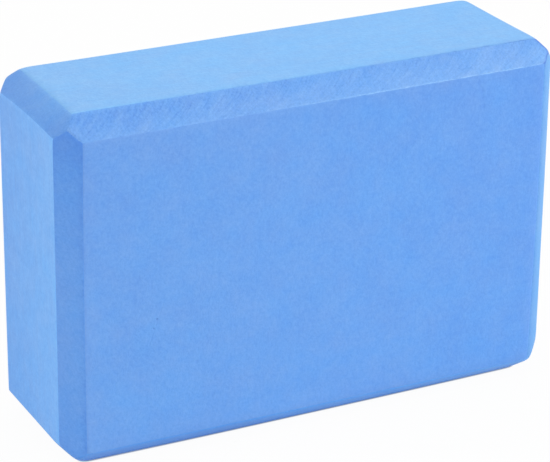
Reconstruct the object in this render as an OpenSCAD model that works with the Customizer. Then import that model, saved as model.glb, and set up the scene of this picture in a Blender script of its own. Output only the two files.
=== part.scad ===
// Foam support block: one solid piece of closed-cell foam.
// It stands on its long narrow face, and the origin is at the middle of that face.
// X runs along the length, Y through the thickness and Z up the height.
// All twelve edges are cut off at 45 degrees, which leaves an arris on each side of a cut.
// At each corner three cuts meet in three short mitres, worn rounder than the arrises.

/* [Block] */
// Length of the block, along X
block_length = 228; // [140:1:300]
// Thickness of the block, along Y
block_thickness = 76; // [50:1:120]
// Height of the block as it stands, along Z
block_height = 154; // [90:1:220]

/* [Edges] */
// How far each cut runs in from the edge, along both faces
edge_cut = 8.7; // [6:0.1:18]
// Radius of the arris where a cut meets a face
arris_radius = 1; // [0.3:0.1:2]
// Radius of the mitre where two cuts meet
mitre_radius = 3.5; // [1:0.1:4]

/* [Hidden] */

// Angles that the surface turns through at an arris and at a mitre
arris_turn = 45;
mitre_turn = 60;
// Angle left where a round meets the flat beside it, so that it ends in a clean line
blend_turn = 5;
// Length of a mitre, from the corner of a face to the point where three cuts meet
mitre_length = edge_cut * sqrt(3) / 2;
// Tilt of a mitre, which lies along the diagonal of a cube
mitre_tilt = atan(sqrt(2));
// Straight segments drawn round a full circle
round_segments = 72;
foam_blue = [0.44, 0.65, 0.94];

// Section of what is worn off a ridge that sits at the origin and points along +Y
module ridge_waste(radius, turn) {
    reach = radius * sin(turn / 2);
    depth = radius * cos(blend_turn) / cos(turn / 2);
    difference() {
        translate([-reach, -radius]) square([2 * reach, 2 * radius]);
        translate([0, -depth]) circle(r = radius, $fn = round_segments);
    }
}

// Section of the block, square to one of its axes
module section(width, height) {
    x = width / 2;
    y = height / 2;
    difference() {
        polygon([
            [x, y - edge_cut],
            [x - edge_cut, y],
            [edge_cut - x, y],
            [-x, y - edge_cut],
            [-x, edge_cut - y],
            [edge_cut - x, -y],
            [x - edge_cut, -y],
            [x, edge_cut - y]
        ]);
        for (side = [0, 1], end = [0, 1]) {
            mirror([side, 0]) mirror([0, end]) {
                translate([x, y - edge_cut]) {
                    rotate(arris_turn / 2 - 90) ridge_waste(arris_radius, arris_turn);
                }
                translate([x - edge_cut, y]) {
                    rotate(-arris_turn / 2) ridge_waste(arris_radius, arris_turn);
                }
            }
        }
    }
}

// The block with sharp mitres: what its three sections have in common
module cut_block() {
    intersection() {
        linear_extrude(height = block_height, center = true) {
            section(block_length, block_thickness);
        }
        rotate([90, 0, 0]) linear_extrude(height = block_thickness, center = true) {
            section(block_length, block_height);
        }
        rotate([90, 0, 90]) linear_extrude(height = block_length, center = true) {
            section(block_thickness, block_height);
        }
    }
}

// What is worn off the three mitres of one corner, which meet at the origin
module corner_waste() {
    for (turn = [0, 120, 240]) {
        rotate(a = turn, v = [1, 1, 1]) rotate([mitre_tilt, 0, -45]) translate([0, 0, -mitre_radius]) {
            linear_extrude(height = mitre_length + 2 * mitre_radius) ridge_waste(mitre_radius, mitre_turn);
        }
    }
}

module block() {
    corner = [block_length, block_thickness, block_height] / 2 - [1, 1, 1] * edge_cut / 2;
    color(foam_blue) translate([0, 0, block_height / 2]) difference() {
        cut_block();
        for (x = [0, 1], y = [0, 1], z = [0, 1]) {
            mirror([x, 0, 0]) mirror([0, y, 0]) mirror([0, 0, z]) translate(corner) corner_waste();
        }
    }
}

block();
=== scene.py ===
import math

import bpy
import numpy as np
from mathutils import Matrix, Vector


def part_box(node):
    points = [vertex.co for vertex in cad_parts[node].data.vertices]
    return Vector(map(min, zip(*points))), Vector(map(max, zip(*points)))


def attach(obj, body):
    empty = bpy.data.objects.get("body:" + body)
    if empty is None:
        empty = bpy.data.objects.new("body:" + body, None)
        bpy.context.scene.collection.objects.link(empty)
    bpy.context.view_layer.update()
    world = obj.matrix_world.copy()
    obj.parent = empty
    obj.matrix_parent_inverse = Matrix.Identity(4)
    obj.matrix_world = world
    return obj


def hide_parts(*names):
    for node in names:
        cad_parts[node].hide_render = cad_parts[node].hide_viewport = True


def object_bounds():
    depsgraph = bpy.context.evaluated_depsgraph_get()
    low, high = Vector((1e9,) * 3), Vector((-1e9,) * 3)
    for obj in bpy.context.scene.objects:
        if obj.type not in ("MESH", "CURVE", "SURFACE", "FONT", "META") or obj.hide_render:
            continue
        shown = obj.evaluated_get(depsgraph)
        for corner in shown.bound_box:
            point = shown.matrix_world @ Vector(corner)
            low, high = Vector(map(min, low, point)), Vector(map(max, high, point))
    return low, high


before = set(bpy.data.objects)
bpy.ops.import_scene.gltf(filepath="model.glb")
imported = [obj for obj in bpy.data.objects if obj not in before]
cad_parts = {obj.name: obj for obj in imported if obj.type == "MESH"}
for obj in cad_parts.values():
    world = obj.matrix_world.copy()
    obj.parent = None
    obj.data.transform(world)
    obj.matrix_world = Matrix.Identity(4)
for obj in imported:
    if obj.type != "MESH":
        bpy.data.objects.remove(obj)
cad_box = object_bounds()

# A firm block of closed-cell foam. The mesh below stands for the CAD node "block": the same faces, edge cuts,
# arrises and mitres, with the slight unevenness of foam that is cut by hand. Lengths are in millimetres.
MM = 0.001
NODE = "block"
BODY = "root"
X, Y, Z = 0, 1, 2

# Each face is its axis and its side, and each edge is its two faces, with the lower axis first.
FACES = [(axis, side) for axis in (X, Y, Z) for side in (-1, 1)]
LEFT, RIGHT, FRONT, BACK, FOOT, TOP = FACES
EDGES = [((a, side_a), (b, side_b)) for a, b in ((X, Y), (Y, Z), (X, Z))
         for side_a in (-1, 1) for side_b in (-1, 1)]
SURFACES = FACES + EDGES  # an edge stands for the cut along it

# ---------------------------------------------------------------- camera
# Solved from the straight edges and the outline of the block in the photograph.
CAMERA_PLACE = Vector((-459.71, -902.18, 512.55)) * MM
CAMERA_HEADING = 26.904   # degrees to the right of +Y
CAMERA_PITCH = -23.428    # degrees above the horizon
CAMERA_ROLL = 0.678
CAMERA_LENS = 169.10
CAMERA_SENSOR = 36
CAMERA_CLIP = (0.05, 50)  # metres

# ---------------------------------------------------------------- form
EDGE_CUT = 8.7            # leg of each edge cut along its two faces
CUT_WIDTH = EDGE_CUT * math.sqrt(2)
ARRIS_BLEND = 7.5         # sharpness where a cut meets a face, per millimetre
MITRE_BLEND = 1.6         # sharpness where two cuts meet
WORN_BLEND = 2.2          # sharpness of the arrises at the corners of a face, which are worn rounder
WORN_REACH = 3.5          # and how far from such a corner
WAVE_LENGTH = 95.0        # slow unevenness of each surface
WAVE_SPREAD = (0.6, 1.6)  # its shortest and longest wave, as shares of that
WAVE_COUNT = 6
WAVE_PEAK = 3             # the sum of the waves is divided by this, which keeps it between about -1 and 1
WAVE_HEIGHT = 0.06
BOW = 0.29                # the block's two ends stand this much higher than its middle
UNEVEN_CUT = 0.3          # how far a cut's legs stray where the photograph doesn't show them

# How much longer a cut's leg is than EDGE_CUT, measured on the cuts in view and on the outline: first on the
# face of the lower axis and then on the other, each at the low end, the middle and the high end of the edge.
SEEN_CUTS = {
    (FRONT, TOP): ((0.55, -0.22, -0.50), (1.05, 0.95, 0.50)),
    (LEFT, TOP): ((1.30, -0.50, 1.10), (-0.70, 0.15, -0.05)),
    (LEFT, FRONT): ((2.10, 1.40, 1.05), (-0.60, -0.50, 0.20)),
    (RIGHT, FRONT): ((-0.35, -0.20, 0.35), (0.70, -0.35, 0.00)),
    (RIGHT, TOP): ((1.00, -0.02, 0.18), (-1.30, -0.02, 0.18)),
    (LEFT, BACK): ((-0.05, -0.10, 0.30), (0.30, 0.10, -0.15)),
    (LEFT, FOOT): ((0.09, 0.15, 0.22), (0.09, 0.15, 0.22)),
    (FRONT, FOOT): ((-0.50, -0.85, -1.45), (0.75, 0.45, 0.90)),
    (RIGHT, FOOT): ((0.60, 0.00, -0.15), (0.50, -0.20, 0.10)),
    (BACK, TOP): ((0.43, 0.27, 0.11), (0.43, 0.27, 0.11)),
}

# Sharpness of the arrises in view: the face, then the face beyond the cut.
SEEN_ARRISES = {
    (FRONT, RIGHT): 1.6, (FRONT, FOOT): 1.3, (FRONT, TOP): 7.5, (FRONT, LEFT): 7.5,
    (TOP, LEFT): 1.6, (TOP, FRONT): 3.0, (TOP, BACK): 7.5, (TOP, RIGHT): 7.5,
    (LEFT, FRONT): 3.0, (LEFT, TOP): 5.0, (LEFT, BACK): 7.5, (LEFT, FOOT): 7.5,
    (RIGHT, FRONT): 7.5, (FOOT, FRONT): 7.5, (FOOT, LEFT): 7.5,
}
UNSEEN_ARRISES = (1.5, 7.5)
ARRIS_REACH = 3.0         # how far from an arris its sharpness holds
FAR_WEIGHT = 0.02         # weight of ARRIS_BLEND itself, which counts only far from every arris

# Sharpness of the mitres at the corners that the photograph shows to differ. A corner is its side along X, Y
# and Z.
SEEN_CORNERS = {(-1, -1, 1): 1.8, (1, -1, 1): 2.8, (1, -1, -1): 1.0, (-1, -1, -1): 1.2, (-1, 1, -1): 4.0}
CRISP_CORNER = (-1, 1, -1)   # the only corner in view whose arrises aren't worn

# The burr is real relief; the paler line that the material gives it is a painted highlight.
LIP_HEIGHT = 0.2          # burr left by the blade along one arris
LIP_WIDTH = 0.3
LIP_START, LIP_FULL = -35.0, 25.0   # places along X between which it grows
LIP_FADES, LIP_ENDS = 14.0, 9.0     # distances from the right end between which it fades out

FLAT_STEP = 1.7           # mesh size on the flats
CUT_STEP = 0.75           # and across the cuts
ARRIS_STEPS = (0.18, 0.38, 0.65, 1.05)  # distances of the mesh lines on both sides of each arris
SETTLE_STEPS = 6          # steps in which the rough mesh moves onto the block's surface
TINY = 0.001              # a length that doesn't count

# ---------------------------------------------------------------- surface
# The foam's two blues, mixed by how pale it is. The narrow faces take the paler one and the broad faces the
# deeper: partly a smoother skin on the narrow faces, partly painted light that brightens the top and the
# ends.
DEEP_BLUE = (0.130, 0.347, 0.813)   # linear
PALE_BLUE = (0.181, 0.462, 0.925)
VIOLET = (0.10, 0.0, -0.02)         # change of each channel where the foam leans to violet, as a share
WARMTH = (0.10, 0.0, -0.02)         # and in its mottled tint
LIGHTNESS = (0.031, 0.029, 0.030)   # and in its fine grain
BLUENESS = (0.0, 0.0, 0.10)         # and where it is a purer blue

# Slow change of tone over the surfaces in view, which paints light and shade on them: how pale they are (0
# the deeper blue, 1 the paler), and how much they lean to violet. Each is the middle, its change to the high
# end along and across, and to both ends.
SEEN_TONES_AND_SHADING = {
    FRONT: ((0.0, -0.1, -0.1, -0.1), (0.0, -0.5, 0.0, 0.0)),
    TOP: ((1.0, 0.0, 0.0, 0.0), (-0.5, -0.5, 0.0, 0.5)),
    LEFT: ((0.9, 0.0, -0.3, 0.0), (0.0, 0.5, 0.0, 0.0)),
    (FRONT, TOP): ((0.2, 0.2, 0.2, 0.0), (1.0, 0.5, 0.5, 0.0)),
    (LEFT, TOP): ((0.1, 0.0, -0.2, -0.4), (0.0, 0.0, -0.5, 0.0)),
    (LEFT, FRONT): ((0.2, -0.2, 0.0, -0.5), (0.0, -0.5, 0.5, -1.5)),
    (RIGHT, FRONT): ((0.1, 0.0, 0.4, 0.0), (-1.0, 0.5, 0.5, 0.0)),
    (FRONT, FOOT): ((0.0, 0.3, 0.3, 0.0), (-3.0, 0.5, 0.0, 1.0)),
}
# How pure a blue the surfaces in view are, where that differs: painted light, the tint that the light falling
# on each side gives it.
SEEN_BLUES = {TOP: -0.5, LEFT: 0.5, (LEFT, FRONT): 0.5, (RIGHT, FRONT): -1.0}
BROAD_PALE, NARROW_PALE, CUT_PALE = 0.0, 1.0, 0.1   # middle of the other surfaces of each kind
UNEVEN_TONE = 0.12        # and how far they stray

# Painted highlight and painted shade in lines along the arrises: how much paler the foam is in such a line
# (deeper below 0), at the arris's low and high end, and how wide the line is: the surface that it is on, and
# the face beside it or beyond the cut.
SEEN_ARRIS_SHADING = {
    ((FRONT, TOP), TOP): (0.38, 0.0, 1.2),
    ((FRONT, TOP), FRONT): (0.0, 0.0, 0.8),
    ((LEFT, FRONT), FRONT): (-0.28, -0.22, 2.0),
    ((LEFT, FRONT), LEFT): (-0.15, -0.15, 0.8),
    ((LEFT, TOP), LEFT): (0.15, 0.25, 1.5),
    ((LEFT, TOP), TOP): (0.40, 0.35, 1.2),
    ((FRONT, FOOT), FOOT): (-0.1, -0.1, 1.0),
    ((FRONT, FOOT), FRONT): (0.0, 0.0, 0.8),
    (LEFT, TOP): (-0.1, 0.45, 1.3),
    (LEFT, FRONT): (0.0, 0.25, 2.5),
    (FRONT, LEFT): (-0.1, -0.1, 0.8),
    (FRONT, TOP): (0.05, 0.10, 0.8),
    (FRONT, FOOT): (0.15, 0.0, 0.8),
    (FRONT, RIGHT): (0.0, 0.0, 0.8),
    (TOP, FRONT): (0.5, -1.5, 0.8),
    (TOP, LEFT): (0.0, 0.0, 0.8),
}
FACE_RIMS = (0.0, 0.2)    # and on the other faces, between these
CUT_RIMS = (-0.25, 0.0)   # and on the other cuts
RIM_WIDTH = 0.8
MITRE_WIDTH = 0.7
# Along the mitres the paler line is a painted highlight, and at the corner given below 0 a painted line of
# shade.
MITRE_HIGHLIGHT = 0.2          # how much paler the foam is along the mitres
SEEN_MITRES = {(-1, -1, 1): 0.0, (1, -1, 1): -1.7}   # and at the corners that are seen to differ
BORDER_WIDTH = 4.0        # the border of a broad face leans to violet
BORDER_VIOLET = 0.75
PIT_SPACING = 26.0        # size of the cells that pits lie in, on the surfaces out of view
PIT_RADIUS = 0.5
PIT_LOTS = (0.6, 1.0)     # random values of a cell from which it has a pit, and from which that is full size
PIT_FLOOR = 0.3           # share of a pit's radius where it is deepest
SHEET_APART = 400.0       # distance between the surfaces on the map, so that no pattern repeats
TINTS_APART = 900.0       # and between the tints and the other patterns

# Blade marks on the cuts: their direction in the middle, in degrees from the cut's long way, and their
# strength.
SEEN_MARKS = {
    (FRONT, TOP): (-38.0, 1.0),
    (LEFT, TOP): (40.0, 0.5),
    (LEFT, FRONT): (35.0, 0.25),
    (FRONT, FOOT): (35.0, 0.3),
}
UNSEEN_TURNS = (35, 50)   # and on the other cuts, either way, between these
UNSEEN_STRENGTHS = (0.4, 1.0)
MARK_BEND = 0.03          # the marks are arcs, which bend by this times the square of the distance across

# Seeds of the fixed random draws.
LEG_SEED, FACE_SEED, CUT_SEED, ARRIS_SEED = 5, 11, 47, 19
TONE_SEED, RIM_SEED, MARK_SEED = 23, 31, 3

# Marks of use on the broad front face, all of them hollows: a line from one place (along X, and up from the
# middle) to another, its width, how much paler it is, and how high it stands. Their deeper colour is painted
# shade in the hollows.
SCUFFS = [
    ((-74.0, -13.6), (-74.0, -13.6), 0.8, -0.45, -0.3),
    ((-75.5, -17.5), (-75.5, -17.5), 0.7, -0.35, -0.25),
    ((-71.1, -7.1), (-77.4, -24.6), 0.5, -0.08, -0.05),
    ((-56.8, -36.7), (-56.3, -36.2), 1.4, -0.12, -0.1),
    ((-49.3, -53.2), (-48.9, -52.6), 1.3, -0.12, -0.1),
    ((71.9, 67.6), (74.9, 60.9), 1.3, -0.12, -0.06),
    ((74.9, 60.9), (75.8, 53.6), 1.3, -0.10, -0.05),
]

# ---------------------------------------------------------------- material
# What the material reads from the mesh.
ATTRIBUTES = ("pale", "violet", "blue", "arris_shading", "sawn", "smooth", "pitted", "lip")

# The noise patterns: the map each is drawn on, its size along and across, its detail and its roughness.
NOISES = {
    "fine": ("surface", 0.9, 0.9, 1.0, 0.7),
    "cells": ("surface", 1.8, 1.8, 2.0, 0.75),
    "clumps": ("surface", 5.0, 5.0, 2.0, 0.5),
    "blotches": ("surface", 19.0, 19.0, 2.0, 0.5),
    "drifts": ("surface", 50.0, 50.0, 2.0, 0.5),
    "breaks": ("surface", 4.0, 4.0, 2.0, 0.5),
    "tints": ("tints", 12.0, 12.0, 2.0, 0.5),
    "streaks": ("marks", 20.0, 2.0, 2.0, 0.5),
    "strokes": ("marks", 12.0, 0.8, 2.0, 0.7),
    "swathes": ("marks", 25.0, 5.0, 2.0, 0.5),
    "scratches": ("marks", 28.0, 2.4, 1.0, 0.5),
    "groups": ("marks", 30.0, 9.0, 2.0, 0.5),
}
SCRATCH_WIDTH = 0.06      # value of the noise at the side of a scratch, where its middle is 0
SCRATCH_GROUPS = (-0.1, 0.4)   # values of the noise from which there are scratches, and at full strength

# How much stronger the grain and the dust are on the narrow faces and on the cuts than on the broad faces.
GRAIN_ON = {"smooth": 0.5, "sawn": 0.3}
DUST_ON = {"smooth": -0.4, "sawn": 1.8}
RIM_BREAKS = 1.0          # how uneven the lines along the arrises are
LIP_BREAKS = 2.0          # and the line along the burr

# What each pattern adds to how pale the foam is, to its mottled tint, to its height and to its roughness.
# In how pale the foam is, the lines along the arrises and mitres are painted highlight and shade.
PALE_MIX = {
    "pale": 1.0, "grain": 0.38, "clumps": 0.15, "blotches": 0.16, "patches": 0.2, "streaks": 0.3,
    # the deeper pits are painted shade in their hollows
    # the paler line on the burr is a painted highlight
    "strokes": 0.5, "swathes": 0.25, "scratches": -0.3, "arris_shading": 1.0, "lip": 0.8, "pits": -0.35,
}
MOTTLE_MIX = {
    "tints": 1.2, "drifts": 1.0, "clumps": 0.8, "grain": 0.8, "strokes": 0.8, "swathes": 1.2, "lip": 0.8,
}
HEIGHT_MIX = {
    "grain": 0.05, "clumps": 0.03, "streaks": 0.02, "strokes": 0.05, "swathes": 0.06, "scratches": -0.06,
    "pits": -0.4,
}
ROUGH_MIX = {"grain": 0.05, "clumps": 0.05, "streaks": 0.08}
ROUGHNESS = 0.6

# ---------------------------------------------------------------- studio
FLOOR_REACH = 8.0         # metres
FLOOR_COLOUR = (0.86, 0.86, 0.86, 1)
FLOOR_WHITE = 0.96        # share of plain white on the floor, whose rest is lit and keeps the soft shadow
# The floor darkens towards the block where the block shuts out the open sky: a painted contact shadow.
CONTACT_REACH = 0.0007    # metres over which the floor darkens towards the block
CONTACT_SHADOW_COLOUR = (0.19, 0.26, 0.40, 1)
CONTACT_RAMP = (0.1, 0.9)   # shares of open sky at which the floor has that colour, and at which it is white
WHITE = (1, 1, 1, 1)
ROOM_LIGHT = 0.68
LAMP_DISTANCE = 1.5       # metres
LAMP_SIZE = 0.9
# Azimuth (0 in front of the block and 90 at its right) and elevation of each lamp, and its power in watts.
LAMPS = {"right_front": (45, 20, 9.7), "left": (270, 45, 4.6), "back": (150, 30, 2.8)}


# ================================================================ the block's surface
def unit(axis, side):
    """The direction in which a face looks."""
    direction = np.zeros(3)
    direction[axis] = side
    return direction


def smooth_step(value, start, end):
    """0 up to start, 1 from end on, and smooth between them."""
    share = np.clip((value - start) / (end - start), 0, 1)
    return share * share * (3 - 2 * share)


def leg_changes():
    """How much longer each cut's legs are than EDGE_CUT, as in SEEN_CUTS."""
    random = np.random.default_rng(LEG_SEED)
    strays = [random.uniform(-UNEVEN_CUT, UNEVEN_CUT, (2, 3)) for _ in EDGES]
    return [np.array(SEEN_CUTS.get(edge, stray)) for edge, stray in zip(EDGES, strays)]


def through(values, share):
    """A curve through a value at the low end, in the middle and at the high end."""
    low, middle, high = values
    return low + (4 * middle - 3 * low - high) * share + 2 * (low + high - 2 * middle) * share ** 2


def along_edge(rough, edge, half):
    """Place along an edge, from 0 at its low end to 1 at its high end."""
    run = 3 - edge[0][0] - edge[1][0]
    return np.clip(rough[:, run] / half[run] / 2 + 0.5, 0, 1)


def slow_waves(points, count, seed):
    """One gentle unevenness for each of a number of planes, between about -1 and 1."""
    random = np.random.default_rng(seed)
    waves = np.zeros((len(points), count))
    for plane in range(count):
        for _ in range(WAVE_COUNT):
            direction = random.normal(size=3)
            direction /= np.linalg.norm(direction)
            length = WAVE_LENGTH * random.uniform(*WAVE_SPREAD)
            phase = random.uniform(0, 2 * math.pi)
            waves[:, plane] += np.sin(points @ direction * 2 * math.pi / length + phase) / WAVE_PEAK
    return waves


def face_planes(points, half):
    """Normals of the six faces, and their distances from the middle near each point."""
    normals = np.array([unit(axis, side) for axis, side in FACES])
    offsets = np.repeat(half, 2)
    return normals, offsets + WAVE_HEIGHT * slow_waves(points, len(normals), FACE_SEED)


def cut_planes(points, half):
    """Normals of the twelve edge cuts, and their distances from the middle near each point."""
    normals, offsets = [], []
    for edge, longer in zip(EDGES, leg_changes()):
        (a, side_a), (b, side_b) = edge
        along = along_edge(points, edge, half)
        past = (np.abs(points[:, a]) - half[a]) - (np.abs(points[:, b]) - half[b])
        towards_a = np.clip(past / EDGE_CUT / 2 + 0.5, 0, 1)
        on_a, on_b = through(longer[0], along), through(longer[1], along)
        leg = EDGE_CUT + on_b + (on_a - on_b) * towards_a
        normals.append((unit(a, side_a) + unit(b, side_b)) / math.sqrt(2))
        offsets.append((half[a] + half[b] - leg) / math.sqrt(2))
    offsets = np.column_stack(offsets)
    return np.array(normals), offsets + WAVE_HEIGHT * slow_waves(points, len(normals), CUT_SEED)


def follow_cuts(rough, half):
    """Shifts the mesh lines so that those of the arrises lie where the cuts' legs end."""
    deep = half - np.abs(rough)
    moved = rough.copy()

    def fade(axis):
        on_flat = (deep[:, axis] - EDGE_CUT) / (half[axis] - EDGE_CUT)
        return np.minimum(deep[:, axis] / EDGE_CUT, 1 - np.clip(on_flat, 0, 1))

    for edge, longer in zip(EDGES, leg_changes()):
        (a, side_a), (b, side_b) = edge
        c = 3 - a - b
        along = along_edge(rough, edge, half)
        here = (rough[:, a] * side_a > 0) & (rough[:, b] * side_b > 0)
        for face, other, side, legs in ((a, b, side_b, longer[0]), (b, a, side_a, longer[1])):
            share = here * deep[:, c] / (deep[:, face] + deep[:, c] + TINY)
            moved[:, other] -= side * share * through(legs, along) * fade(other)
    return moved


def mitre_blend(points):
    """Sharpness of the nearest corner's mitres."""
    blend = np.full(len(points), MITRE_BLEND)
    for corner, sharpness in SEEN_CORNERS.items():
        blend[(np.sign(points) == corner).all(axis=1)] = sharpness
    return blend


def arris_blend(points, half):
    """Sharpness of the nearest arris, lower near the corners of each face."""
    random = np.random.default_rng(ARRIS_SEED)
    deep = half - np.abs(points)
    total, weights = FAR_WEIGHT * ARRIS_BLEND, FAR_WEIGHT
    for edge in EDGES:
        for face, beyond in (edge, edge[::-1]):
            stray = random.uniform(*UNSEEN_ARRISES)
            away = np.hypot(deep[:, face[0]], deep[:, beyond[0]] - EDGE_CUT)
            here = (points[:, face[0]] * face[1] > 0) & (points[:, beyond[0]] * beyond[1] > 0)
            weight = here * np.exp(-(away / ARRIS_REACH) ** 2)
            total = total + weight * SEEN_ARRISES.get((face, beyond), stray)
            weights = weights + weight
    near = np.full(len(points), np.inf)
    for axis in (X, Y, Z):
        corner = half - EDGE_CUT
        corner[axis] = half[axis]
        near = np.minimum(near, np.linalg.norm(np.abs(points) - corner, axis=1))
    near[(np.sign(points) == CRISP_CORNER).all(axis=1)] = np.inf
    sharpness = total / weights
    worn = np.minimum(sharpness, WORN_BLEND)
    return sharpness + (worn - sharpness) * np.exp(-(near / WORN_REACH) ** 2)


def blend_highest(heights, slopes, sharpness):
    """The highest of several heights, rounded off where they meet, and its slope."""
    top = heights.max(axis=1, keepdims=True)
    weights = np.exp(sharpness[:, None] * (heights - top))
    total = weights.sum(axis=1, keepdims=True)
    height = top[:, 0] + np.log(total[:, 0]) / sharpness
    return height, np.einsum("pk,pkc->pc", weights / total, slopes)


def settle(rough, half):
    """Moves rough points onto the block's surface, with its arrises and mitres rounded."""
    points = follow_cuts(rough, half)
    face_normals, face_offsets = face_planes(rough, half)
    cut_normals, cut_offsets = cut_planes(rough, half)
    mitre, arris = mitre_blend(rough), arris_blend(rough, half)
    count = len(points)
    all_faces = np.broadcast_to(face_normals, (count, *face_normals.shape))
    all_cuts = np.broadcast_to(cut_normals, (count, *cut_normals.shape))
    for _ in range(SETTLE_STEPS):
        mitred, mitred_slope = blend_highest(points @ cut_normals.T - cut_offsets, all_cuts, mitre)
        heights = np.column_stack([points @ face_normals.T - face_offsets, mitred])
        slopes = np.concatenate([all_faces, mitred_slope[:, None, :]], axis=1)
        height, slope = blend_highest(heights, slopes, arris)
        points = points - slope * (height / (slope ** 2).sum(axis=1))[:, None]
    bowed = points.copy()
    bowed[:, Z] += BOW * (points[:, X] / half[X]) ** 2
    return bowed, slope / np.linalg.norm(slope, axis=1, keepdims=True)


def lip(rough, half):
    """Share of the burr on the arris between the broad front face and the cut above it."""
    to_arris = np.hypot(rough[..., Y] + half[Y], rough[..., Z] - (half[Z] - EDGE_CUT))
    grown = smooth_step(rough[..., X], LIP_START, LIP_FULL)
    lasting = smooth_step(-rough[..., X], LIP_ENDS - half[X], LIP_FADES - half[X])
    return grown * lasting * np.exp(-(to_arris / LIP_WIDTH) ** 2)


# ================================================================ the mesh
def mesh_lines(half_side):
    """Mesh lines across one side: place on the crisp block, and distance past the arris (0 on the flat)."""
    flat = half_side - EDGE_CUT
    near = [flat - step for step in reversed(ARRIS_STEPS)]
    count = round(near[0] / FLAT_STEP)
    on_flat = [near[0] * k / count for k in range(count)] + near + [flat]
    start, end = ARRIS_STEPS[-1], EDGE_CUT / math.sqrt(2)
    count = round((end - start) / CUT_STEP)
    on_cut = list(ARRIS_STEPS) + [start + (end - start) * k / count for k in range(1, count + 1)]
    right = [(t, 0.0) for t in on_flat] + [(flat + w / math.sqrt(2), w) for w in on_cut]
    left = [(-t, w) for t, w in reversed(right[1:])]
    return np.array(left + right)


def side_grid(axis, side, half):
    """One of the six sides with half of each cut round it: points, quads, and what their corners need."""
    first, second = [k for k in (X, Y, Z) if k != axis]
    a, b = mesh_lines(half[first]), mesh_lines(half[second])
    points = np.zeros((len(a), len(b), 3))
    points[..., first] = a[:, None, 0]
    points[..., second] = b[None, :, 0]
    past_a = np.repeat(a[:, None, 1], len(b), axis=1)
    past_b = np.repeat(b[None, :, 1], len(a), axis=0)
    points[..., axis] = side * (half[axis] - np.maximum(past_a, past_b) / math.sqrt(2))
    index = np.arange(len(a) * len(b)).reshape(len(a), len(b))
    quads = np.stack([index[:-1, :-1], index[1:, :-1], index[1:, 1:], index[:-1, 1:]], axis=-1).reshape(-1, 4)
    if (side > 0) == (axis == Y):    # so that all quads face outwards
        quads = quads[:, ::-1]
    points = points.reshape(-1, 3)
    middle_a = past_a.ravel()[quads].mean(axis=1)
    middle_b = past_b.ravel()[quads].mean(axis=1)
    # which edge cut a quad belongs to, by the axis it turns towards, or none
    towards = np.where(middle_a > middle_b, first, second)
    on_cut = np.maximum(middle_a, middle_b) > 0
    return points, quads, surface_map(points[quads], axis, side, towards, on_cut, half)


def surface_map(corners, axis, side, towards, on_cut, half):
    """For each corner of each quad: its place along and across its own surface. For each quad: the number of
    that surface. Along is the long way of a face or a cut."""
    first, second = [k for k in (X, Y, Z) if k != axis]
    long_way, short_way = (first, second) if half[first] > half[second] else (second, first)
    along = corners[..., long_way].copy()
    across = corners[..., short_way].copy()
    number = np.full(len(corners), SURFACES.index((axis, side)))
    for other in (first, second):
        for other_side in (-1, 1):
            here = on_cut & (towards == other) & (corners[..., other].mean(axis=1) * other_side > 0)
            edge = tuple(sorted([(axis, side), (other, other_side)]))
            past = np.abs(corners[here]) - half
            along[here] = corners[here][..., 3 - axis - other]
            across[here] = (past[..., edge[0][0]] - past[..., edge[1][0]]) / math.sqrt(2)
            number[here] = SURFACES.index(edge)
    return along, across, number


def build_block():
    """The block's mesh, with its maps and what the material reads."""
    low, high = (np.array(corner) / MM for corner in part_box(NODE))
    half, middle = (high - low) / 2, (high + low) / 2
    points, quads, maps = [], [], []
    start = 0
    for axis, side in FACES:
        side_points, side_quads, side_map = side_grid(axis, side, half)
        points.append(side_points)
        quads.append(side_quads + start)
        maps.append(side_map)
        start += len(side_points)
    points, quads = np.concatenate(points), np.concatenate(quads)
    along, across, number = (np.concatenate(part) for part in zip(*maps))
    places = np.round(points / TINY).astype(int)
    _, kept, merged = np.unique(places, axis=0, return_index=True, return_inverse=True)
    rough, quads = points[kept], merged.reshape(-1)[quads]
    settled, outward = settle(rough, half)
    settled = settled + outward * (LIP_HEIGHT * lip(rough, half))[:, None]
    settled[:, Z] -= settled[:, Z].min() + half[Z]    # it stands on its lowest point

    mesh = bpy.data.meshes.new("foam_block")
    mesh.from_pydata(((settled + middle) * MM).tolist(), [], quads.tolist())
    mesh.polygons.foreach_set("use_smooth", [True] * len(mesh.polygons))
    write_surface(mesh, rough[quads], along, across, number, half)
    block = bpy.data.objects.new("foam_block", mesh)
    bpy.context.collection.objects.link(block)
    return block


# ================================================================ what the material reads
def reach_of(surface, half):
    """Half the length and half the width of a surface, in the directions along and across."""
    if surface in EDGES:
        return half[3 - surface[0][0] - surface[1][0]], CUT_WIDTH / 2
    lengths = sorted(half[k] - EDGE_CUT for k in (X, Y, Z) if k != surface[0])
    return lengths[1], lengths[0]


def neighbours(surface):
    """The faces beside a cut, or the faces beyond the cuts round a face."""
    if surface in EDGES:
        return surface
    return [face for face in FACES if face[0] != surface[0]]


def to_arris(corners, surface, neighbour, half):
    """Distance of each corner from the arris between a surface and its neighbour."""
    deep = half - np.abs(corners)
    if surface in EDGES:
        other = surface[0][0] if neighbour == surface[1] else surface[1][0]
        past = (deep[..., neighbour[0]] - deep[..., other]) / math.sqrt(2)
        return CUT_WIDTH / 2 + past
    return half[neighbour[0]] - EDGE_CUT - corners[..., neighbour[0]] * neighbour[1]


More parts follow.
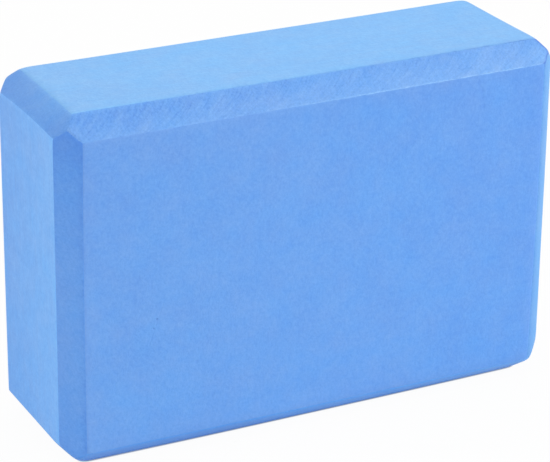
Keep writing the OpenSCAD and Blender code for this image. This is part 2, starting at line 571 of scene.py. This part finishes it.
def slow_tones_and_shading(along, across, number, half):
    """How pale, how violet and how pure a blue each corner is, before any grain, with painted light and shade
    on the surfaces in view.
    """
    random = np.random.default_rng(TONE_SEED)
    pale, violet, blue = (np.zeros(along.shape) for _ in range(3))
    for k, surface in enumerate(SURFACES):
        here = number == k
        middle = CUT_PALE if surface in EDGES else BROAD_PALE if surface[0] == Y else NARROW_PALE
        strays = random.uniform(-UNEVEN_TONE, UNEVEN_TONE, (2, 4))
        strays[0, 0] += middle
        length, width = reach_of(surface, half)
        u, v = along[here] / length, across[here] / width
        for store, tones in zip((pale, violet), SEEN_TONES_AND_SHADING.get(surface, strays)):
            store[here] = np.tensordot(tones, np.stack([u ** 0, u, v, u * u]), axes=1)
        blue[here] = SEEN_BLUES.get(surface, 0.0)
    return pale, violet, blue


def arris_shading_lines(corners, number, half):
    """How much paler or deeper the foam is along each arris, as painted highlight and shade, and how near
    each corner is to any arris.
    """
    random = np.random.default_rng(RIM_SEED)
    tone, near = np.zeros(corners.shape[:2]), np.zeros(corners.shape[:2])
    for k, surface in enumerate(SURFACES):
        here = number == k
        on_cut = surface in EDGES
        for neighbour in neighbours(surface):
            run = 3 - surface[0][0] - surface[1][0] if on_cut else 3 - surface[0] - neighbour[0]
            stray = (*random.uniform(*(CUT_RIMS if on_cut else FACE_RIMS), 2), RIM_WIDTH)
            low, high, width = SEEN_ARRIS_SHADING.get((surface, neighbour), stray)
            away = to_arris(corners[here], surface, neighbour, half)
            share = np.exp(-(away / width) ** 2)
            place = corners[here][..., run] / half[run] / 2 + 0.5
            tone[here] += share * (low + (high - low) * place)
            near[here] = np.maximum(near[here], np.exp(-(away / BORDER_WIDTH) ** 2))
    return tone, near


def mitres(corners, number, half):
    """How much paler the foam is along the mitres, where two cuts meet: a painted highlight, and at one
    corner a painted line of shade.
    """
    deep = np.sort(half - np.abs(corners), axis=-1)
    away = (deep[..., 2] - deep[..., 1]) / math.sqrt(1.5)    # on the cut, square to the mitre
    paler = np.full(away.shape, MITRE_HIGHLIGHT)
    for corner, seen in SEEN_MITRES.items():
        paler[(np.sign(corners) == corner).all(axis=-1)] = seen
    return (number >= len(FACES))[:, None] * paler * np.exp(-(away / MITRE_WIDTH) ** 2)


def blade_marks():
    """The turn of the pattern on each surface, in degrees, and the strength of the blade marks."""
    random = np.random.default_rng(MARK_SEED)
    strays = [(random.choice((-1, 1)) * random.uniform(*UNSEEN_TURNS), random.uniform(*UNSEEN_STRENGTHS))
              for _ in EDGES]
    marks = [SEEN_MARKS.get(edge, stray) for edge, stray in zip(EDGES, strays)]
    return np.array([(0.0, 0.0)] * len(FACES) + marks).T


def write_surface(mesh, corners, along, across, number, half):
    """Stores the two maps and what the material reads, one value per corner of each quad."""
    apart = SHEET_APART * number[:, None]
    write_map(mesh, "surface", along, across + apart)
    turns, strengths = blade_marks()
    turn = np.radians(turns)[number][:, None]
    on_cut = (number >= len(FACES))[:, None]
    broad = np.isin(number, [SURFACES.index(face) for face in (FRONT, BACK)])[:, None]
    unseen = np.array([surface not in SEEN_TONES_AND_SHADING for surface in SURFACES])[number][:, None]
    bend = MARK_BEND * across ** 2 * on_cut
    write_map(mesh, "marks", along * np.cos(turn) + across * np.sin(turn),
              across * np.cos(turn) - along * np.sin(turn) + bend + apart)
    pale, violet, blue = slow_tones_and_shading(along, across, number, half)
    arris_shading, near = arris_shading_lines(corners, number, half)
    every = np.ones(along.shape)
    values = {
        # the slow tones, which paint light and shade on the surfaces in view
        "pale": pale,
        "violet": violet + BORDER_VIOLET * near * broad,
        "blue": blue,
        # painted highlight and shade in lines along the arrises and the mitres
        "arris_shading": arris_shading + mitres(corners, number, half),
        "sawn": every * strengths[number][:, None],
        "smooth": every * (~on_cut & ~broad),
        "pitted": every * unseen,
        "lip": lip(corners, half),
    }
    for name in ATTRIBUTES:
        mesh.attributes.new(name, "FLOAT", "CORNER").data.foreach_set("value", values[name].ravel())


def write_map(mesh, name, along, across):
    """Stores one map, in millimetres."""
    mesh.uv_layers.new(name=name).data.foreach_set("uv", np.stack([along, across], axis=-1).ravel())


# ================================================================ materials
def add(tree, kind, inputs, **settings):
    """Adds a node. Each input is a number, a tuple or another node's output."""
    node = tree.nodes.new("ShaderNode" + kind)
    for name, value in settings.items():
        setattr(node, name, value)
    for key, value in inputs.items():
        if isinstance(value, bpy.types.NodeSocket):
            tree.links.new(value, node.inputs[key])
        else:
            node.inputs[key].default_value = value
    return node


def math_node(tree, operation, *values):
    """The result of one operation on numbers."""
    return add(tree, "Math", dict(enumerate(values)), operation=operation).outputs[0]


def vector_node(tree, operation, *values):
    """The result of one operation on vectors, such as places and colours."""
    return add(tree, "VectorMath", dict(enumerate(values)), operation=operation).outputs[0]


def weighted(tree, *terms):
    """The sum of value x weight over the terms."""
    total = None
    for value, weight in terms:
        if total is None:
            total = math_node(tree, "MULTIPLY", value, weight)
        else:
            total = math_node(tree, "MULTIPLY_ADD", value, weight, total)
    return total


def stretched_noise(tree, place, along, across, detail, roughness):
    """Noise between about -1 and 1 whose blotches are so many millimetres along and across."""
    scaled = vector_node(tree, "MULTIPLY", place, (1 / along, 1 / across, 1))
    noise = add(tree, "TexNoise", {"Vector": scaled, "Scale": 1.0, "Detail": detail, "Roughness": roughness},
                noise_dimensions="2D")
    return math_node(tree, "MULTIPLY_ADD", noise.outputs[0], 2.0, -1.0)


def ramp(tree, value, start, end):
    """0 up to start, 1 from end on, and smooth between them."""
    return add(tree, "MapRange", {"Value": value, "From Min": start, "From Max": end},
               interpolation_type="SMOOTHSTEP").outputs[0]


def thin_lines(tree, noise, width):
    """1 on the lines where a noise passes through zero, and 0 beside them."""
    away = math_node(tree, "ABSOLUTE", noise)
    return math_node(tree, "SUBTRACT", 1.0, ramp(tree, away, 0.0, width))


def near_line(tree, place, start, end, width):
    """1 on a short straight line on the map, and 0 beyond its width."""
    (u0, v0), (u1, v1) = start, end
    length = max(math.hypot(u1 - u0, v1 - v0), TINY)
    way = ((u1 - u0) / length, (v1 - v0) / length, 0)
    from_start = vector_node(tree, "SUBTRACT", place, (u0, v0, 0))
    passed = add(tree, "VectorMath", {0: from_start, 1: way}, operation="DOT_PRODUCT").outputs["Value"]
    held = math_node(tree, "MINIMUM", math_node(tree, "MAXIMUM", passed, 0.0), length)
    foot = add(tree, "VectorMath", {0: way, "Scale": held}, operation="SCALE").outputs[0]
    away = add(tree, "VectorMath", {0: from_start, 1: foot}, operation="DISTANCE").outputs["Value"]
    return math_node(tree, "SUBTRACT", 1.0, ramp(tree, away, 0.0, width))


def scuffs(tree, place):
    """The scuffs on the front: where each is, how much paler it is, and how high it stands; their deeper
    colour is painted shade in these hollows.
    """
    front = SHEET_APART * SURFACES.index(FRONT)
    found = []
    for (start_u, start_v), (end_u, end_v), width, paler, higher in SCUFFS:
        line = near_line(tree, place, (start_u, start_v + front), (end_u, end_v + front), width)
        found.append((line, paler, higher))
    return found


def pits(tree, place):
    """1 in small pits that lie far apart, at most one in each cell of a pattern."""
    spread = add(tree, "TexVoronoi", {"Vector": place, "Scale": 1 / PIT_SPACING}, voronoi_dimensions="2D")
    lot = add(tree, "SeparateColor", {"Color": spread.outputs["Color"]}).outputs["Red"]
    radius = math_node(tree, "MULTIPLY", ramp(tree, lot, *PIT_LOTS), PIT_RADIUS / PIT_SPACING)
    never_zero = math_node(tree, "ADD", radius, TINY / 10)
    away = math_node(tree, "DIVIDE", spread.outputs["Distance"], never_zero)
    return math_node(tree, "SUBTRACT", 1.0, ramp(tree, away, PIT_FLOOR, 1.0))


def foam_patterns(tree, place):
    """All that the foam's colour and surface are mixed from, each with its name. A noise that is confined to
    some surfaces keeps its name."""
    def times(value, other):
        return math_node(tree, "MULTIPLY", value, other)

    def uneven(value, share):
        return times(value, math_node(tree, "MULTIPLY_ADD", noise["breaks"], share, 1.0))

    sheets = {
        "surface": place,
        "tints": vector_node(tree, "ADD", place, (TINTS_APART, 0, 0)),
        "marks": add(tree, "UVMap", {}, uv_map="marks").outputs[0],
    }
    noise = {name: stretched_noise(tree, sheets[sheet], *look) for name, (sheet, *look) in NOISES.items()}
    read = {name: add(tree, "Attribute", {}, attribute_name=name).outputs["Fac"] for name in ATTRIBUTES}
    grain_on = weighted(tree, *((read[name], share) for name, share in GRAIN_ON.items()), (1.0, 1.0))
    dust_on = weighted(tree, *((read[name], share) for name, share in DUST_ON.items()), (1.0, 1.0))
    scratches = times(thin_lines(tree, noise["scratches"], SCRATCH_WIDTH),
                      ramp(tree, noise["groups"], *SCRATCH_GROUPS))
    return {
        **noise,
        **read,
        "grain": times(noise["cells"], grain_on),
        "dust": times(noise["fine"], dust_on),
        "patches": times(noise["clumps"], read["smooth"]),
        "streaks": times(noise["streaks"], read["smooth"]),
        "strokes": times(noise["strokes"], read["sawn"]),
        "swathes": times(noise["swathes"], read["sawn"]),
        "scratches": times(scratches, read["sawn"]),
        # the painted highlight and shade along the arrises, broken up
        "arris_shading": uneven(read["arris_shading"], RIM_BREAKS),
        # the paler line along the burr is a painted highlight
        "lip": uneven(read["lip"], LIP_BREAKS),
        # pits, whose deeper colour is painted shade in them
        "pits": times(pits(tree, place), read["pitted"]),
    }


def foam_colour(tree, patterns, marks_of_use):
    """The foam's blue: the deeper and the paler one by its tone, and then the changes of its tint."""
    tone = weighted(tree, *((patterns[name], share) for name, share in PALE_MIX.items()),
                    *((line, paler) for line, paler, _ in marks_of_use))
    colour = add(tree, "Mix", {"Factor": tone, 6: (*DEEP_BLUE, 1), 7: (*PALE_BLUE, 1)},
                 data_type="RGBA", clamp_factor=False).outputs[2]
    mottle = weighted(tree, *((patterns[name], share) for name, share in MOTTLE_MIX.items()))
    change = add(tree, "VectorMath", {0: VIOLET, "Scale": patterns["violet"]}, operation="SCALE").outputs[0]
    for direction, amount in ((WARMTH, mottle), (LIGHTNESS, patterns["dust"]), (BLUENESS, patterns["blue"])):
        change = vector_node(tree, "MULTIPLY_ADD", direction, amount, change)
    return vector_node(tree, "MULTIPLY_ADD", colour, change, colour)


def foam_material():
    """Closed-cell foam: fine grain, clouded tint, blade marks on the cuts, and painted highlight and shade
    along the arrises.
    """
    material = bpy.data.materials.new("closed_cell_foam")
    material.use_nodes = True
    tree = material.node_tree
    shader = tree.nodes["Principled BSDF"]
    place = add(tree, "UVMap", {}, uv_map="surface").outputs[0]
    patterns = foam_patterns(tree, place)
    marks_of_use = scuffs(tree, place)
    tree.links.new(foam_colour(tree, patterns, marks_of_use), shader.inputs["Base Color"])
    height = weighted(tree, *((patterns[name], share) for name, share in HEIGHT_MIX.items()),
                      *((line, higher) for line, _, higher in marks_of_use))
    bump = add(tree, "Bump", {"Strength": 1.0, "Distance": MM, "Height": height})
    tree.links.new(bump.outputs[0], shader.inputs["Normal"])
    rougher = weighted(tree, *((patterns[name], share) for name, share in ROUGH_MIX.items()))
    tree.links.new(math_node(tree, "ADD", rougher, ROUGHNESS), shader.inputs["Roughness"])
    return material


# ================================================================ studio
def area_light(name, target, azimuth, elevation, power):
    """A round soft lamp that faces a target."""
    around, above = math.radians(azimuth), math.radians(elevation)
    level = math.cos(above)
    direction = Vector((math.sin(around) * level, -math.cos(around) * level, math.sin(above)))
    data = bpy.data.lights.new(name, "AREA")
    data.shape = "DISK"
    data.size = LAMP_SIZE
    data.energy = power
    lamp = bpy.data.objects.new(name, data)
    bpy.context.collection.objects.link(lamp)
    lamp.location = target + direction * LAMP_DISTANCE
    lamp.rotation_euler = (-direction).to_track_quat("-Z", "Y").to_euler()


def seen_directly(tree):
    """1 for rays from the camera and in reflections or glass, 0 for rays that carry light."""
    ray = add(tree, "LightPath", {})
    seen = math_node(tree, "MAXIMUM", ray.outputs["Is Camera Ray"], ray.outputs["Is Glossy Ray"])
    return math_node(tree, "MAXIMUM", seen, ray.outputs["Is Transmission Ray"])


def floor_material():
    """Nearly white, with the block's soft shadow, and a painted contact shadow where the block touches it."""
    material = bpy.data.materials.new("floor")
    material.use_nodes = True
    tree = material.node_tree
    lit = tree.nodes["Principled BSDF"]
    lit.inputs["Base Color"].default_value = FLOOR_COLOUR
    lit.inputs["Roughness"].default_value = 1.0
    lit.inputs["Specular IOR Level"].default_value = 0.0
    # painted contact shadow: the seen floor's colour darkens where the block shuts out the open sky
    open_sky = add(tree, "AmbientOcclusion", {"Distance": CONTACT_REACH}).outputs["AO"]
    pale = add(tree, "Mix", {"Factor": ramp(tree, open_sky, *CONTACT_RAMP), 6: CONTACT_SHADOW_COLOUR, 7: WHITE},
               data_type="RGBA").outputs[2]
    white = add(tree, "Emission", {"Color": pale, "Strength": 1.0})
    share = math_node(tree, "MULTIPLY", seen_directly(tree), FLOOR_WHITE)
    mix = add(tree, "MixShader", {0: share, 1: lit.outputs[0], 2: white.outputs[0]})
    tree.links.new(mix.outputs[0], tree.nodes["Material Output"].inputs["Surface"])
    return material


def build_floor():
    """A wide square at z = 0."""
    mesh = bpy.data.meshes.new("floor")
    low, high = -FLOOR_REACH, FLOOR_REACH
    mesh.from_pydata([(low, low, 0), (high, low, 0), (high, high, 0), (low, high, 0)], [], [(0, 1, 2, 3)])
    floor = bpy.data.objects.new("floor", mesh)
    bpy.context.collection.objects.link(floor)
    mesh.materials.append(floor_material())


def build_world():
    """An even white room, which is plain white where it is seen."""
    world = bpy.data.worlds.new("studio")
    bpy.context.scene.world = world
    world.use_nodes = True
    tree = world.node_tree
    room = tree.nodes["Background"]
    room.inputs["Color"].default_value = WHITE
    room.inputs["Strength"].default_value = ROOM_LIGHT
    white = add(tree, "Background", {"Color": WHITE, "Strength": 1.0})
    mix = add(tree, "MixShader", {0: seen_directly(tree), 1: room.outputs[0], 2: white.outputs[0]})
    tree.links.new(mix.outputs[0], tree.nodes["World Output"].inputs["Surface"])


def build_camera():
    """The camera of the photograph."""
    data = bpy.data.cameras.new("camera")
    data.lens = CAMERA_LENS
    data.sensor_width = CAMERA_SENSOR
    data.clip_start, data.clip_end = CAMERA_CLIP
    camera = bpy.data.objects.new("camera", data)
    bpy.context.collection.objects.link(camera)
    turn = (Matrix.Rotation(math.radians(-CAMERA_HEADING), 4, "Z")
            @ Matrix.Rotation(math.radians(90 + CAMERA_PITCH), 4, "X")
            @ Matrix.Rotation(math.radians(CAMERA_ROLL), 4, "Z"))
    camera.matrix_world = Matrix.Translation(CAMERA_PLACE) @ turn
    bpy.context.scene.camera = camera


build_camera()
block = build_block()
block.data.materials.append(foam_material())
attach(block, BODY)
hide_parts(NODE)

build_floor()
build_world()
block_middle = (Vector(cad_box[0]) + Vector(cad_box[1])) / 2
for name, (azimuth, elevation, power) in LAMPS.items():
    area_light(name, block_middle, azimuth, elevation, power)
bpy.context.scene.view_settings.view_transform = "Standard"
